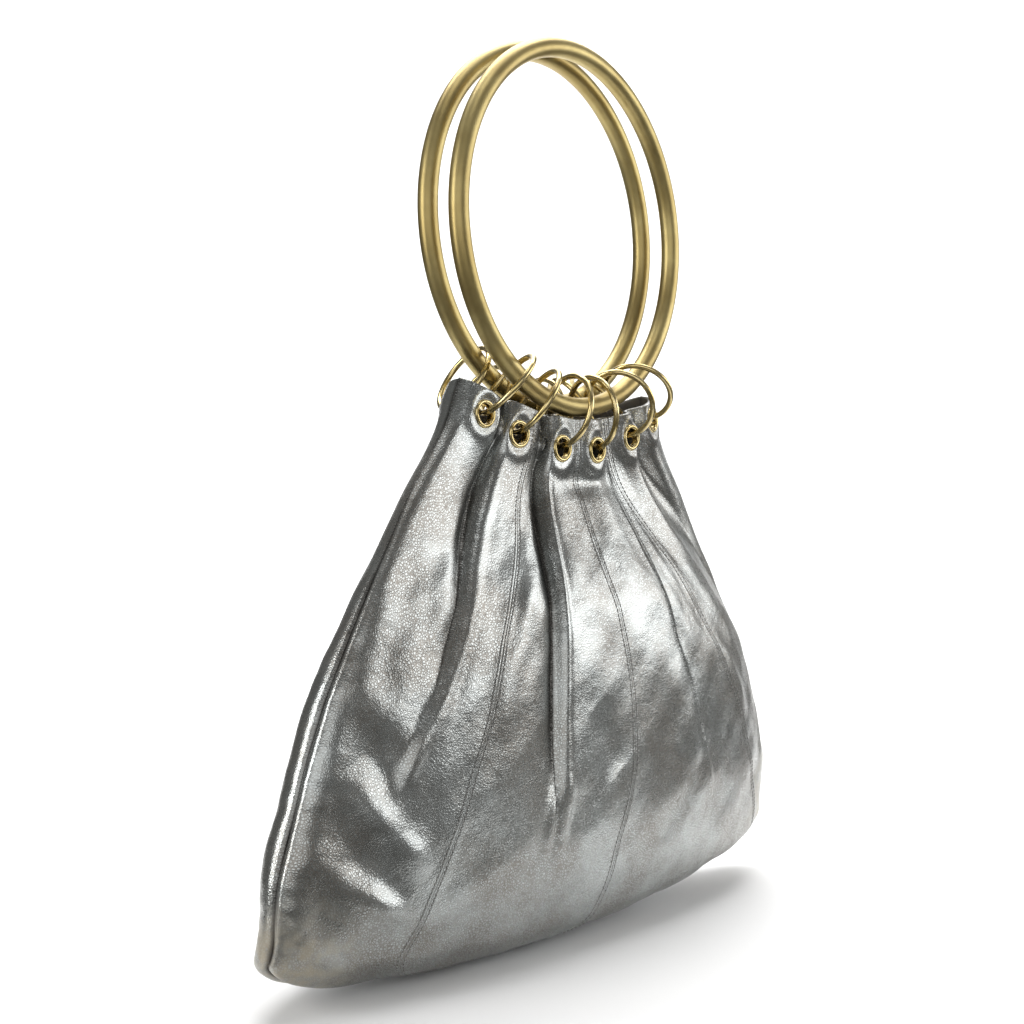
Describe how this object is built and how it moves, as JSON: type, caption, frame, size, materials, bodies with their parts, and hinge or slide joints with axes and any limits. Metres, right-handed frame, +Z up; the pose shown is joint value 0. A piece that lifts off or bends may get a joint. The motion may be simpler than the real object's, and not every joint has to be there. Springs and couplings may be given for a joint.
{
  "type": "satchel handbag",
  "caption": "Soft silver leather satchel, gathered by eyelets and small wire rings onto two round brass ring handles.",
  "frame": {"origin": "under the top of the front handle's ring, midway between the two handles, where a hand or a peg carries the bag", "axes": "+Z up, along the way the bag hangs; +X to the right seen from the front; -Y towards the front"},
  "size_m": [0.3103, 0.0758, 0.3623],
  "materials": {
    "leather": "metallic silver, grained, worn",
    "handles": "satin, aged",
    "small_rings": "polished"
  },
  "bodies": {
    "bag": {"front_gore_1": "leather", "front_gore_2": "leather", "front_gore_3": "leather", "front_gore_4": "leather", "back_gore_1": "leather", "back_gore_2": "leather", "back_gore_3": "leather", "back_gore_4": "leather", "front_eyelet_1": "small_rings", "front_eyelet_2": "small_rings", "front_eyelet_3": "small_rings", "front_eyelet_4": "small_rings", "front_eyelet_5": "small_rings", "front_eyelet_6": "small_rings", "back_eyelet_1": "small_rings", "back_eyelet_2": "small_rings", "back_eyelet_3": "small_rings", "back_eyelet_4": "small_rings", "back_eyelet_5": "small_rings", "back_eyelet_6": "small_rings", "front_ring_1": "small_rings", "front_ring_2": "small_rings", "front_ring_3": "small_rings", "front_ring_4": "small_rings", "front_ring_5": "small_rings", "front_ring_6": "small_rings", "back_ring_1": "small_rings", "back_ring_2": "small_rings", "back_ring_3": "small_rings", "back_ring_4": "small_rings", "back_ring_5": "small_rings", "back_ring_6": "small_rings"},
    "front_handle": {"front_handle": "handles"},
    "back_handle": {"back_handle": "handles"}
  },
  "joints": [
    {"name": "front_handle_turn", "type": "hinge", "parent": "bag", "child": "front_handle", "pos_m": [0.0004, -0.00769, -0.0686], "axis": [-0.0523, 0.9986, 0], "continuous": true},
    {"name": "back_handle_turn", "type": "hinge", "parent": "bag", "child": "back_handle", "pos_m": [-0.0004, 0.00769, -0.0671], "axis": [-0.0523, 0.9986, 0], "continuous": true}
  ]
}
